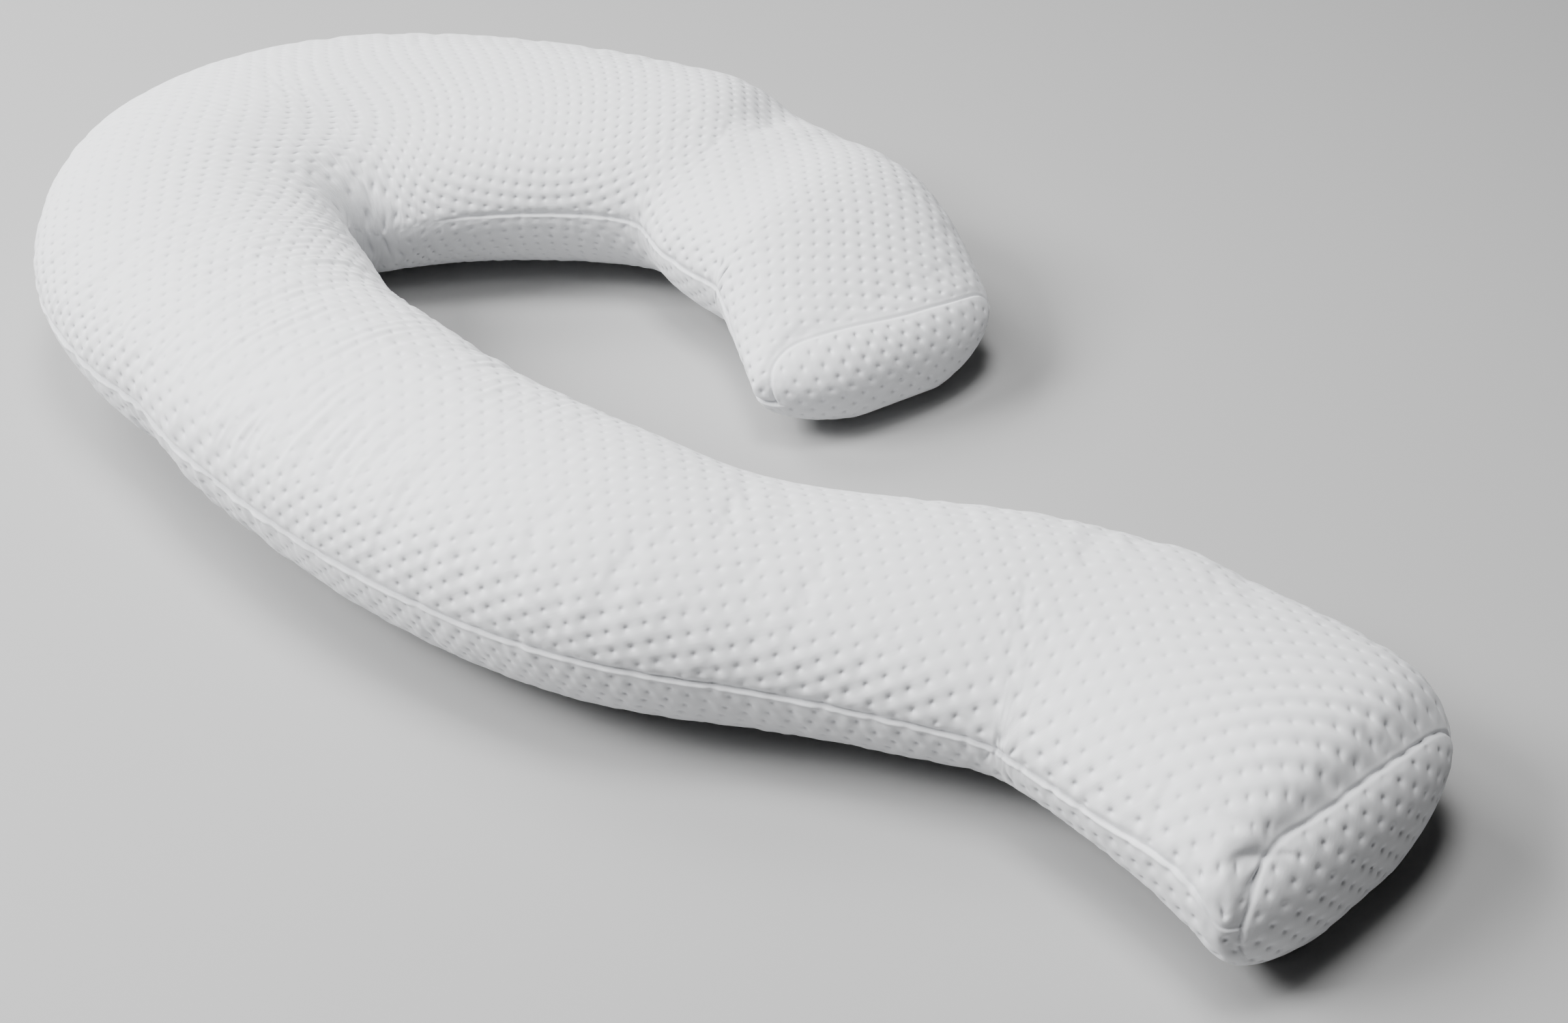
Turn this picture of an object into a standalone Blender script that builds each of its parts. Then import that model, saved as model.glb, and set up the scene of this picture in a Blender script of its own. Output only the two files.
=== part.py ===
"""A body pillow bent into a long tail and a hook, in white dimpled knit.

One filled body, whose top and bottom panels meet in a side seam drawn in as a
channel, and a crowned end panel sewn into each end. Metres, +Z up. The pillow
lies on the floor at Z = 0, its long way along X, the tail's foot at +X.
"""
import bmesh
import bpy
import numpy as np

NAME = "body_pillow"

# Sections from the tail's foot to the tip of the hook.
# x, y   the section's middle
# out    from the middle to the outer side seam
# inn    from the middle to the inner side seam
# high   height of the crown
#  x       y      out    inn    high
STATIONS = (
    (0.671, -0.086, 0.138, 0.128, 0.122),
    (0.615, -0.077, 0.137, 0.140, 0.149),
    (0.461, -0.066, 0.128, 0.123, 0.146),
    (0.352, -0.107, 0.116, 0.115, 0.153),
    (0.231, -0.178, 0.102, 0.112, 0.161),
    (0.109, -0.234, 0.112, 0.125, 0.180),
    (-0.070, -0.257, 0.120, 0.126, 0.187),
    (-0.259, -0.235, 0.133, 0.125, 0.189),
    (-0.442, -0.189, 0.149, 0.134, 0.190),
    (-0.538, -0.114, 0.159, 0.135, 0.199),
    (-0.556, 0.000, 0.153, 0.153, 0.198),
    (-0.467, 0.135, 0.149, 0.165, 0.187),
    (-0.262, 0.259, 0.111, 0.136, 0.177),
    (-0.130, 0.263, 0.110, 0.143, 0.157),
    (-0.040, 0.250, 0.110, 0.147, 0.159),
    (0.073, 0.187, 0.111, 0.150, 0.106),
)
FOOT_SKEW = 2.2         # degrees that the foot's end is turned off square
HEAD_SKEW = 12.6        # and the tip's end
SKEW_REACH = 1.2        # stations over which the turn fades

SEAM_RISE = 0.587       # side seam's height, as a share of the crown's
BEND_AT = 10.0          # station at the middle of the hook's tight bend
BEND_REACH = 0.8        # stations over which the inner seam dips there
BEND_DIP = 0.67         # share of its height that the inner seam dips
TOP_FULLNESS = 2.12     # superellipse power of the top panel's curve
BASE_FULLNESS = 1.98    # and of the bottom panel's
BASE_PRESS = 0.008      # how far the floor pushes the base up flat

CHANNEL_DEPTH = 0.0050  # side seam's channel
CHANNEL_HALF = 0.0065   # its half width

FOOT_CROWN = 0.021      # how far the foot's panel swells past its seam
HEAD_CROWN = 0.039      # and the tip's
FOOT_LEAN = 0.011       # how much further out the foot's seam is at the floor
END_POWER = 2.9         # how blunt that swelling is
END_LIP = 0.0065        # from the last section out to the end seam
END_INSET = 0.0050      # how far in the end seam is drawn
CLOTH = 0.0030          # thickness of an end panel, padded knit
STAND_OFF = 0.0005      # from an end panel's back to the filled body

# Main folds, tucks and uneven places.
# along   station at the fold's middle, counted from the foot
# round   degrees round the section: 0 outer seam, 90 crown, 180 inner seam
# run     half length along the pillow
# girth   half width round the section, degrees
# turn    slope of the fold, degrees of girth for each 10 mm along
# deep    how far in, or out where it is less than 0
#  along  round  run   girth turn  deep
FOLDS = (
    (0.16, 30.0, 0.045, 5.0, 0.5, 0.0045),
    (0.18, 44.0, 0.050, 5.0, 1.0, -0.0030),
    (0.16, 57.0, 0.045, 5.0, 1.5, 0.0030),
    (10.10, 195.0, 0.020, 55.0, 0.0, 0.0120),
    (9.60, 172.0, 0.012, 34.0, 0.0, 0.0030),
    (10.55, 172.0, 0.012, 34.0, 0.0, 0.0030),
    (12.52, 60.0, 0.024, 30.0, 0.0, 0.0158),
    (12.15, 47.0, 0.033, 40.0, 0.0, -0.0042),
    (8.78, 0.0, 0.050, 30.0, 0.0, 0.0120),
    (1.91, 162.0, 0.029, 40.0, 0.0, -0.0060),
)

ROUNDS = 113            # sections in the loft
FOOT_FINE = 0.6         # stations at the foot with closer sections
FOOT_ROUNDS = 9         # and how many they have
HALF_RING = (0.0, 1.1, 2.6, 5.0, 9.0, 15.0, 23.0, 33.0, 44.0, 58.0, 74.0)
END_RINGS = (0.965, 0.90, 0.81, 0.70, 0.56, 0.40, 0.22)

KNIT_WHITE = (0.86, 0.86, 0.875, 1.0)


def spline(values, where):
    """Natural cubic through one value a station, read at `where` (stations).

    Returns the value, its slope and its bend.
    """
    values = np.asarray(values, float)
    count = len(values)
    grid = np.zeros((count, count))
    side = np.zeros((count,) + values.shape[1:])
    grid[0, 0] = grid[-1, -1] = 1.0
    for k in range(1, count - 1):
        grid[k, k - 1:k + 2] = (1.0, 4.0, 1.0)
        side[k] = 6.0 * (values[k - 1] - 2.0 * values[k] + values[k + 1])
    bend = np.linalg.solve(grid, side)
    k = np.clip(where.astype(int), 0, count - 2)
    t = where - k
    if values.ndim > 1:
        t = t[:, None]
    a, b = values[k], values[k + 1]
    p, q = bend[k], bend[k + 1]
    value = (1 - t) * a + t * b + ((1 - t) ** 3 - (1 - t)) * p / 6 + (t ** 3 - t) * q / 6
    slope = b - a + (1 - 3 * (1 - t) ** 2) * p / 6 + (3 * t ** 2 - 1) * q / 6
    return value, slope, (1 - t) * p + t * q


def centre_line(where):
    """Middle, direction, outward side and sizes of the sections at `where`."""
    table = np.array(STATIONS)
    middle, slope, _ = spline(table[:, 0:2], where)
    slope /= np.linalg.norm(slope, axis=1)[:, None]
    last = len(STATIONS) - 1
    turn = np.radians(FOOT_SKEW) * np.exp(-(where / SKEW_REACH) ** 2)
    turn += np.radians(HEAD_SKEW) * np.exp(-((last - where) / SKEW_REACH) ** 2)
    ahead = np.stack([
        slope[:, 0] * np.cos(turn) - slope[:, 1] * np.sin(turn),
        slope[:, 0] * np.sin(turn) + slope[:, 1] * np.cos(turn)], axis=1)
    outward = np.stack([-ahead[:, 1], ahead[:, 0]], axis=1)
    sizes, _, _ = spline(table[:, 2:5], where)
    return middle, ahead, outward, sizes


def ring_angles():
    """Degrees round a section, closer together at the two side seams."""
    half = np.array(HALF_RING)
    top = np.concatenate([half, [90.0], 180.0 - half[::-1]])
    base = 360.0 - top[-2:0:-1]
    return np.concatenate([top, base])


def section(where, sizes, degrees):
    """Sideways and upward places round a section: superellipse halves.

    The top panel springs from the seams to the crown, the bottom panel from
    the seams to the floor, where it is pressed flat. In the tight bend the
    inner seam dips, and the top panel runs down to it in a saddle.
    """
    out, inn, high = (sizes[:, k:k + 1] for k in range(3))
    c = np.cos(np.radians(degrees))[None, :]
    s = np.sin(np.radians(degrees))[None, :]
    dip = BEND_DIP * np.exp(-((where[:, None] - BEND_AT) / BEND_REACH) ** 2)
    seam = SEAM_RISE * high * np.where(c > 0, 1.0, 1.0 - dip)
    power = np.where(s >= 0, TOP_FULLNESS, BASE_FULLNESS)
    side = np.sign(c) * np.abs(c) ** (2 / power) * np.where(c > 0, out, inn)
    rise = np.abs(s) ** (2 / power)
    up = np.where(s >= 0, seam + (high - seam) * rise, seam - (seam + BASE_PRESS) * rise)
    groove = CHANNEL_DEPTH * np.exp(-((up - seam) / CHANNEL_HALF) ** 2)
    side = side - np.sign(c) * groove
    return side, np.maximum(up, 0.0)


def fold_depth(where, length, degrees):
    """How far in the folds push the skin, a row for each section."""
    depth = np.zeros((len(where), len(degrees)))
    for along, around, run, girth, turn, deep in FOLDS:
        ahead = length[:, None] - np.interp(along, where, length)
        slope = turn * ahead / 0.010
        off = (degrees[None, :] - around - slope + 180.0) % 360.0 - 180.0
        depth += deep * np.exp(-(ahead / run) ** 2 - (off / girth) ** 2)
    return depth


def body_rings():
    """The loft's sections, as an array of rings of points."""
    last = len(STATIONS) - 1
    near = np.linspace(0.0, FOOT_FINE, FOOT_ROUNDS + 1)[:-1]
    where = np.concatenate([near, np.linspace(FOOT_FINE, last, ROUNDS - FOOT_ROUNDS)])
    middle, ahead, outward, sizes = centre_line(where)
    step = np.linalg.norm(np.diff(middle, axis=0), axis=1)
    length = np.concatenate([[0.0], np.cumsum(step)])
    degrees = ring_angles()
    side, up = section(where, sizes, degrees)
    heart = (SEAM_RISE * sizes[:, 2])[:, None]
    reach = np.hypot(side, up - heart)
    shrink = 1.0 - fold_depth(where, length, degrees) / reach
    side = side * shrink
    up = np.maximum(heart + (up - heart) * shrink, 0.0)
    flat = middle[:, None, :] + side[..., None] * outward[:, None, :]
    rings = np.concatenate([flat, up[..., None]], axis=2)
    rings[0] = lean_out(rings[0], -ahead[0], FOOT_LEAN)
    return rings, ahead


def lean_out(ring, ahead, lean):
    """Slides a section's points out by `lean` at the floor, 0 at the crown."""
    low = 1.0 - ring[:, 2:3] / ring[:, 2].max()
    return ring + np.append(ahead, 0.0) * lean * low


def end_profile(rim, ahead, crown):
    """An end's places: the seam's edge, the body's face and its panel.

    Each ray runs from the end's middle to the rim. Share 1 is the rim, share
    0 the middle; the face swells by `crown` as (1 - share^power)^0.8. The
    panel's back and the body's face are set in from it along its normal.
    """
    out = np.append(ahead, 0.0)
    low, top = rim.min(axis=0), rim.max(axis=0)
    heart = (low + top) / 2
    ray = rim - heart
    reach = np.linalg.norm(ray, axis=1)
    edge = [
        rim - ray / reach[:, None] * 0.0008 + out * 0.0035,
        rim - ray / reach[:, None] * 0.0024 + out * 0.0056,
        rim - ray / reach[:, None] * END_INSET + out * END_LIP,
    ]
    share = np.array(END_RINGS)[:, None]
    swell = crown * (1 - share ** END_POWER) ** 0.8
    rate = -0.8 * crown * (1 - share ** END_POWER) ** -0.2
    rate = rate * END_POWER * share ** (END_POWER - 1) / reach[None, :]
    lean = np.sqrt(1 + rate ** 2)
    along = 1.0 / lean
    across = -rate / lean

    def face(back):
        """The swelled face set back by `back` along its normal."""
        run = share * reach[None, :] - across * back
        rise = swell - along * back + END_LIP + CLOTH * 0.6
        spot = heart + (ray / reach[:, None])[None] * run[..., None]
        return spot + out * rise[..., None]

    def tip(back):
        """The face's middle point at the same set-back."""
        return heart + out * (crown + END_LIP + CLOTH * 0.6 - back)

    return edge, face, tip, out, ray / reach[:, None]


def mesh_from_rings(name, rings, first, last, colour):
    """A closed mesh of rings of equal count, closed at each end by a point."""
    rings = [np.asarray(ring) for ring in rings]
    count = len(rings[0])
    points = np.concatenate(rings + [first[None], last[None]])
    turn = np.arange(count)
    after = (turn + 1) % count
    faces = []
    for k in range(len(rings) - 1):
        a = k * count
        b = a + count
        quads = np.stack([a + turn, a + after, b + after, b + turn], axis=1)
        faces.extend(quads.tolist())
    start = len(rings) * count
    end = (len(rings) - 1) * count
    faces.extend(np.stack([np.full(count, start), after, turn], axis=1).tolist())
    faces.extend(np.stack([np.full(count, start + 1), end + turn, end + after], axis=1).tolist())
    mesh = bpy.data.meshes.new(name)
    mesh.from_pydata(points.tolist(), [], faces)
    work = bmesh.new()
    work.from_mesh(mesh)
    bmesh.ops.recalc_face_normals(work, faces=work.faces)
    work.to_mesh(mesh)
    work.free()
    mesh.polygons.foreach_set("use_smooth", np.ones(len(mesh.polygons), dtype=bool))
    mesh.update()
    mesh.materials.append(knit(name, colour))
    return bpy.data.objects.new(name, mesh)


def knit(name, colour):
    """A plain white knit material for one piece."""
    material = bpy.data.materials.new(name + "_knit")
    material.use_nodes = True
    shader = material.node_tree.nodes["Principled BSDF"]
    shader.inputs["Base Color"].default_value = colour
    shader.inputs["Roughness"].default_value = 0.9
    shader.inputs["Metallic"].default_value = 0.0
    return material


def end_panel(name, rim, ahead, crown, colour):
    """One end panel: its swelled face, a rounded rim and its back."""
    edge, face, tip, out, spoke = end_profile(rim, ahead, crown)
    front = face(0.0)
    back = face(CLOTH)
    nose = (front[0] + back[0]) / 2 + spoke * CLOTH * 0.45
    rings = list(front[::-1]) + [nose] + list(back)
    return mesh_from_rings(name, rings, tip(0.0), tip(CLOTH), colour)


def main():
    for item in list(bpy.data.objects):
        bpy.data.objects.remove(item)
    home = bpy.data.collections.new(NAME)
    bpy.context.scene.collection.children.link(home)

    rings, ahead = body_rings()
    foot, head = rings[0], rings[-1]
    foot_way, head_way = -ahead[0], ahead[-1]
    foot_edge, foot_face, foot_tip, _, _ = end_profile(foot, foot_way, FOOT_CROWN)
    head_edge, head_face, head_tip, _, _ = end_profile(head, head_way, HEAD_CROWN)
    gone = CLOTH + STAND_OFF
    loft = list(foot_face(gone)[::-1]) + foot_edge[::-1] + list(rings)
    loft += head_edge + list(head_face(gone))

    pieces = [
        mesh_from_rings("pillow_body", loft, foot_tip(gone), head_tip(gone), KNIT_WHITE),
        end_panel("end_panel_foot", foot, foot_way, FOOT_CROWN, KNIT_WHITE),
        end_panel("end_panel_head", head, head_way, HEAD_CROWN, KNIT_WHITE),
    ]
    for piece in pieces:
        home.objects.link(piece)


main()
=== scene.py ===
"""The body pillow dressed: dimpled white knit over its filled case.

One closed padded piece stands for the body and both its end panels, since only
the upper part of each end's seam shows. It lies on a pale floor in soft light.
Lengths are metres. Degrees round a section run from the outer side seam (0)
over the crown (90) to the inner side seam (180) and the base (270).
"""
import math

import bpy
import numpy as np
from mathutils import Matrix, Vector


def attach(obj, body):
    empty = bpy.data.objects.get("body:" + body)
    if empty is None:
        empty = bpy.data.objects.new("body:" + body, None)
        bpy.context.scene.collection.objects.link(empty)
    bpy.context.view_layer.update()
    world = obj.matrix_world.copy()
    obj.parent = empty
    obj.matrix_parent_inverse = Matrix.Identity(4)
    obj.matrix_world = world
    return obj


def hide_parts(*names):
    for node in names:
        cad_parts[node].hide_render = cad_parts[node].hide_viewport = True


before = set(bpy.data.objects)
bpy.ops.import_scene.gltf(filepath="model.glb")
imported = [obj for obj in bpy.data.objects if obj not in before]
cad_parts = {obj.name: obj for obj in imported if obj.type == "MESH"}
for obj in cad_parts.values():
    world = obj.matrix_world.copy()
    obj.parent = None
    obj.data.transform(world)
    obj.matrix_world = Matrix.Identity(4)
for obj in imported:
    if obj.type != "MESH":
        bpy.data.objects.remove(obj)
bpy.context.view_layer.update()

# ---- real sizes
# Sections from the tail's foot to the tip of the hook: the section's middle,
# the half widths out to the two side seams, and the crown's height.
#  x       y      out    inn    high
STATIONS = (
    (0.671, -0.086, 0.138, 0.128, 0.122),
    (0.615, -0.077, 0.137, 0.140, 0.149),
    (0.461, -0.066, 0.128, 0.123, 0.146),
    (0.352, -0.107, 0.116, 0.115, 0.153),
    (0.231, -0.178, 0.102, 0.112, 0.161),
    (0.109, -0.234, 0.112, 0.125, 0.180),
    (-0.070, -0.257, 0.120, 0.126, 0.187),
    (-0.259, -0.235, 0.133, 0.125, 0.189),
    (-0.442, -0.189, 0.149, 0.134, 0.190),
    (-0.538, -0.114, 0.159, 0.135, 0.199),
    (-0.556, 0.000, 0.153, 0.153, 0.198),
    (-0.467, 0.135, 0.149, 0.165, 0.187),
    (-0.262, 0.259, 0.111, 0.136, 0.177),
    (-0.130, 0.263, 0.110, 0.143, 0.157),
    (-0.040, 0.250, 0.110, 0.147, 0.159),
    (0.073, 0.187, 0.111, 0.150, 0.106),
)
LAST = len(STATIONS) - 1
FOOT_SKEW = 2.2       # degrees that the foot's end is turned off square
HEAD_SKEW = 12.6      # and the tip's end
SKEW_REACH = 1.2      # stations over which the turn fades

SEAM_RISE = 0.587     # side seam's height, as a share of the crown's
BEND_AT = 10.0        # station at the middle of the hook's tight bend
BEND_REACH = 0.7      # stations over which the inner seam dips there
BEND_DIP = 0.33       # share of its height that the inner seam dips
BEND_SLACK = 0.45     # how much less full the top is on its inner side
BEND_SLACK_AT = 9.3   # round this station
BEND_SLACK_REACH = 1.5
TOP_FULLNESS = 2.12   # superellipse power of the top panel's curve
BASE_FULLNESS = 1.98  # and of the bottom panel's
BASE_PRESS = 0.008    # how far the floor pushes the base up flat

BEND_SOFT_AT = 1.30   # along, where the bend's inner side is eased
BEND_SOFT_REACH = 0.23  # half length of that stretch
BEND_SOFT = 60        # rows over which it is
BEND_SOFT_ROUND = (80.0, 140.0, 300.0, 350.0)  # round the section: from, full, full, to

FOOT_CROWN = 0.021    # how far the foot's panel swells past its seam
HEAD_CROWN = 0.039    # and the tip's
FOOT_LEAN = 0.011     # how much further out the foot's seam is at the floor
LEAN_REACH = 0.12     # stations over which that fades
END_POWER = 2.9       # how blunt the ends' swelling is
END_CURVE = 0.8       # and the power of its curve out from the rim
END_OUT = 0.0083      # from the last section out to where it swells
END_STEP = 0.0011     # between an end's first rings
END_LEAD = 30         # how many of those it has
END_ROWS = 44         # rings from there to an end's middle
END_SMOOTH = 50       # rounds of smoothing over the last section
END_SMOOTH_REACH = 0.016  # and how far from it they act
END_CROWD = 0.045     # how far from each end the sections are closer

# How far past the last section each end seam runs, SEAM_TURN degrees apart
# from just under the outer side seam, over the top, to under the inner one.
SEAM_TURN = 15.0
END_SEAM = {
    "foot": (0.0180, 0.0179, 0.0158, 0.0100, 0.0010, -0.0009, 0.0042, 0.0062,
             0.0078, 0.0083, 0.0070, 0.0064, 0.0080, 0.0120, 0.0150),
    "head": (0.0120, 0.0100, 0.0070, 0.0070, 0.0130, 0.0175, 0.0184, 0.0170,
             0.0105, 0.0035, -0.0016, 0.0030, 0.0135, 0.0185, 0.0200),
}
END_SEAM_IN = 0.0022  # how deep the end seam is drawn in
END_SEAM_WIDE = 0.0017  # half width of its groove
END_GATHER = 9.0      # degrees round it from one soft gather to the next
END_SLOPE = 0.0018    # how far the cloth dips towards it
SLOPE_AT, SLOPE_WIDE = -0.003, 0.008  # where that dip is deepest, and its half width
END_ROLL = 0.0002     # roll of the end's cloth beside it
ROLL_AT, ROLL_WIDE = 0.0036, 0.0026  # how far past it the roll is, its half width
SEAM_STOP = (-0.0010, 0.0015)  # past it, the side seams fade over these
FOOT_LIFT = 11.0      # degrees that the outer side seam rises near the foot
FOOT_LIFT_AT = 0.040  # how far from the foot it is highest
FOOT_LIFT_REACH = 0.065 # half length of that rise
TIP_DIP = 13.0        # degrees that the tip's inner side seam runs down
TIP_DIP_FROM = 0.11   # over this length
NUB_LOW = 9.0         # degrees under the side seams where the end seams end
NUB_FADE = 9.0        # and how soon they do, in degrees squared

# Folds out from the corners of the end seams: `off` is how far past the seam
# they start, and a bearing is 0 into the case and 90 round it.
PUCKERS = (
    # end    angle  off    bearing length wide    high
    ("foot", 53.0, 0.0, -24.0, 0.056, 0.0036, -0.0012),
    ("foot", 53.0, 0.0, -37.0, 0.052, 0.0048, 0.0022),
    ("foot", 50.0, 0.0, -50.0, 0.046, 0.0034, -0.0024),
    ("foot", 47.0, 0.0, -63.0, 0.030, 0.0038, 0.0020),
    ("foot", 44.0, 0.0, -80.0, 0.020, 0.0030, -0.0018),
    ("foot", 30.0, 0.0, -12.0, 0.050, 0.0150, 0.0032),
    ("foot", 55.0, 0.001, 180.0, 0.016, 0.0040, -0.0018),
    ("foot", 352.0, 0.0, 90.0, 0.007, 0.0026, 0.0026),
    ("head", 198.0, 0.0, -90.0, 0.007, 0.0026, 0.0022),
)
FOLD_NARROW = 0.010   # folds less wide than this flatten the dimples

# Uneven places of the filled form: the station and degrees at the middle, half
# length along, half width round in degrees, and how far in (out if less than 0).
#  along  round  run   girth  deep
DENTS = (
    (10.10, 195.0, 0.020, 55.0, 0.0120),
    (9.60, 172.0, 0.012, 34.0, 0.0030),
    (10.55, 172.0, 0.012, 34.0, 0.0030),
    (12.52, 60.0, 0.024, 30.0, 0.0158),
    (12.15, 47.0, 0.033, 40.0, -0.0042),
    (8.78, 0.0, 0.050, 30.0, 0.0120),
    (1.91, 162.0, 0.029, 40.0, -0.0060),
    (7.25, 352.0, 0.045, 30.0, 0.0080),
    (7.15, 158.0, 0.070, 40.0, 0.0090),
    (0.35, 325.0, 0.040, 35.0, -0.0045),
    (9.62, 149.0, 0.085, 24.0, -0.0190),
    (8.40, 165.0, 0.050, 20.0, 0.0070),
)

PITCH = 0.0147        # between the knit's dimples, both ways
LATTICE_TURN = 47.0   # degrees from +X to a row of dimples
BASE_ASIDE = 3.0      # the bottom panel's flat cut is laid this far aside
SWIRLS = (            # pitches along and across, degrees, reach of each turn
    (-18.4, 21.8, 32.6, 5.3), (-11.0, 20.3, 23.0, 8.6),
    (-2.9, 16.6, -11.6, 5.4), (-17.7, 12.2, 30.0, 8.6),
)
ROW_SLOPE = (8.4, 15.8, 0.25)  # pitches along, reach, slope of the rows
CURL_FROM = 23.0      # pitches along from which the rows curl the other way
END_CURL = 0.19       # and their slope there
ROWS_CLOSER = (0.956, 1.16, 0.0035)  # rows a pitch: along, across, and its growth
ROW_WANDER = 0.10     # pitches that the rows wander
END_KNIT = {          # on each end: across a dimple's diamond, its sides' slopes
    "foot": (0.0218, 0.942, 0.875),
    "head": (0.0200, 1.093, 0.759),
}
PIT_TOP = 0.0009      # depth of a dimple's broad cup on the taut crown
PIT_HOOK = 0.0012     # and over the hook
HOOK_FROM, HOOK_FULL = 0.80, 1.10  # from and to this far along
PIT_FLANK = 0.0018    # and on the sides, where the knit is slacker
FLANK = (-0.97, -0.55)  # the normal's dip where the sides begin, and are in full
PIT_LOW = 0.0017      # and on the bottom panel's sides
PIT_END = 0.0016      # and on the ends
PIT_UNEVEN = 0.25     # share by which the depth varies
PIT_PROUD = 0.15      # share of it that the pads between stand proud
CLEAR_SIDE = (0.001, 0.010)  # dimples grow over these from a side seam
CLEAR_END = (0.002, 0.011)  # from an end seam
CLEAR_FLOOR = (0.002, 0.018)  # and from the floor
ROW_RIDGE = 0.0003    # half height of the soft ridges between the rows
FOOT_RIDGE = 0.0010   # and near the foot's end seam, where they bunch
FOOT_REACH = 0.11     # how far from the foot they do
FOOT_ROUND = (38.0, 95.0)  # and round the section, from and full
CLEAR_RIDGE = (0.004, 0.020)  # ridges grow over these from a side seam

WRINKLE_AT = 0.98     # along, where wrinkles fan over the bend
WRINKLE_REACH = 0.26  # half length of that stretch
WRINKLE_ROUND = (8.0, 45.0, 150.0, 176.0)  # round the section: from, full, full, to
WRINKLE_PITCH = 0.0060  # from one to the next
WRINKLE_HIGH = 0.0020  # their half height
BUNCH_AT = 0.98       # and where the bottom panel's outer side is bunched
BUNCH_REACH = 0.17
BUNCH_PITCH = 0.0085  # from one of its gathers to the next
BUNCH_HIGH = 0.0018   # half height of its gathers there
BUNCH_LOW = 0.0003    # and elsewhere
TUCK_PITCH = 0.013    # between the top panel's gathers at the seams
TUCK_REACH = 0.015    # how far up from the seam they fade
TUCK_HIGH = 0.0006    # their half height

SEAM_IN = 0.0026      # how deep the side seam is drawn in
SEAM_TOP = 0.0042     # half width of its groove in the top panel
SEAM_LOW = 0.0012     # and in the bottom panel
LIP_OUT = 0.0012      # roll of the bottom panel just under the seam
LIP_AT = 0.0024       # how far under the seam the roll is
LIP_WIDE = 0.0018     # its half width
LIP_INNER = 0.3       # share of the roll at the inner seam
LIP_TOP = 0.15        # share of it that the top panel has
NICK_PITCH = 0.037    # between the small gathers along a seam
NICK_WIDE = 0.0042    # half width of one
NICK_IN = 0.0014      # its depth
NICK_TOP, NICK_LOW = 0.011, 0.006  # how far it runs up, and down
SEAM_UNEVEN = 0.0005  # height of the cloth's small unevenness beside a seam
FOOT_TAUT = 0.65      # share of the side seams' relief lost at the foot's end
FOOT_TAUT_REACH = 0.030
HIDDEN = (1.10, 1.20, 1.56, 1.68)  # along, where the bend hides the inner seam
SHADE_LINE_SIDE, SHADE_LINE_END = 0.0013, 0.0012  # half width of the shade painted along a side seam, and an end seam

ROWS = 1300           # sections along the case
TOP_COLS = 150        # faces over the top, between the seam edges
BASE_COLS = 72        # and under it
EDGE = np.array([0.0, 0.0007, 0.0014, 0.0022, 0.0031, 0.0042, 0.0056, 0.0074, 0.0096])

CLOTH_ROWS = 440      # the coarse case that the cloth fills
CLOTH_TOP = 56        # its faces over the top
CLOTH_BASE = 36       # and under it
CLOTH_INSIDE = 0.0010  # how far inside its form it starts
CLOTH_GRAIN = 0.0006  # and how unevenly
CLOTH_PINNED = 0.0015  # it is held still below this height
CLOTH_FRAMES = 20
CLOTH_RULES = {
    "quality": 5, "mass": 0.25, "tension_stiffness": 22.0, "compression_stiffness": 22.0,
    "shear_stiffness": 6.0, "bending_stiffness": 0.35, "use_pressure": True,
    "uniform_pressure_force": 4.0, "vertex_group_mass": "held", "pin_stiffness": 50.0,
    "shrink_min": -0.012,       # the share that it is too long, as less than 0
}
CLOTH_CAP = 0.012     # furthest that a point may move
CLOTH_SWELL = 14      # rounds of blurring that leave only its broad swell
RIPPLE_CAP = 0.0025   # the most that counts as a ripple
RIPPLE_SHARE = 0.5    # and the share of it that is added
EASE_FROM = 0.55      # share of a bend's radius where the flat cut is eased in

STITCH_WIDE = 0.0011  # the knit's stitches
STITCH_TALL = 0.0014
STITCH_HIGH = 0.00005
PIT_SHARP = 6.0       # power of the small point at a dimple's bottom
PIT_POINT = 0.0011    # and its depth
CREASES = 0.0003      # height of the pads' own soft unevenness
CREASE_SCALE = (0.9, 2.6, 1.0)  # how close it comes along and across the rows
FUZZ_SCALE = 900.0    # the yarn's fuzz, a metre
PAINTED_PIT_SHADE = 0.75      # share of the darker white painted into a dimple's bottom as its shade
PAINTED_SEAM_SHADE = 0.35     # and into a seam's groove, as painted shade
TONE_SHADE = 0.06     # and in the cloth's own faint mottling
TONE_SCALE = 22.0     # which comes this close, a metre
WHITE = (0.80, 0.81, 0.828, 1.0)
WHITE_SHADE_AND_MOTTLE = (0.70, 0.71, 0.74, 1.0)  # painted shade in the dimples and the seams, and the dark of the cloth's random mottling
FLOOR_COLOUR = (0.38, 0.38, 0.38, 1.0)
FLOOR_HALF = 3.2      # half of the floor's side
FLOOR_UNDER = -0.0004  # it lies just under the pillow
BACKDROP_COLOUR = (0.62, 0.62, 0.63, 1.0)

CAMERA_PLACE = (0.9268, -0.9903, 1.1156)
CAMERA_BEARING = 130.0  # degrees from +X that it looks towards
CAMERA_PITCH = 41.116  # degrees down
CAMERA_ROLL = -0.526  # and turned about that way
CAMERA_LENS = 43.864  # mm, on a sensor 36 mm wide
LIGHTS = (
    # name, place, aim, wide, tall, watts
    ("front", (-2.3, -2.3, 2.8), (-0.1, 0.0, 0.1), 1.6, 1.6, 302.0),
    ("side", (-3.0, 0.0, 2.7), (-0.1, 0.0, 0.1), 1.6, 1.6, 138.0),
    ("top", (0.0, 0.0, 2.6), (0.0, 0.0, 0.1), 0.8, 0.8, 55.0),
    ("right", (0.3, -0.4, 1.5), (0.4, -0.2, 0.1), 0.5, 0.5, 5.0),
    ("over", (0.0, -0.5, 1.2), (0.0, -0.3, 0.1), 0.5, 0.5, 3.0),
)


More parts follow.
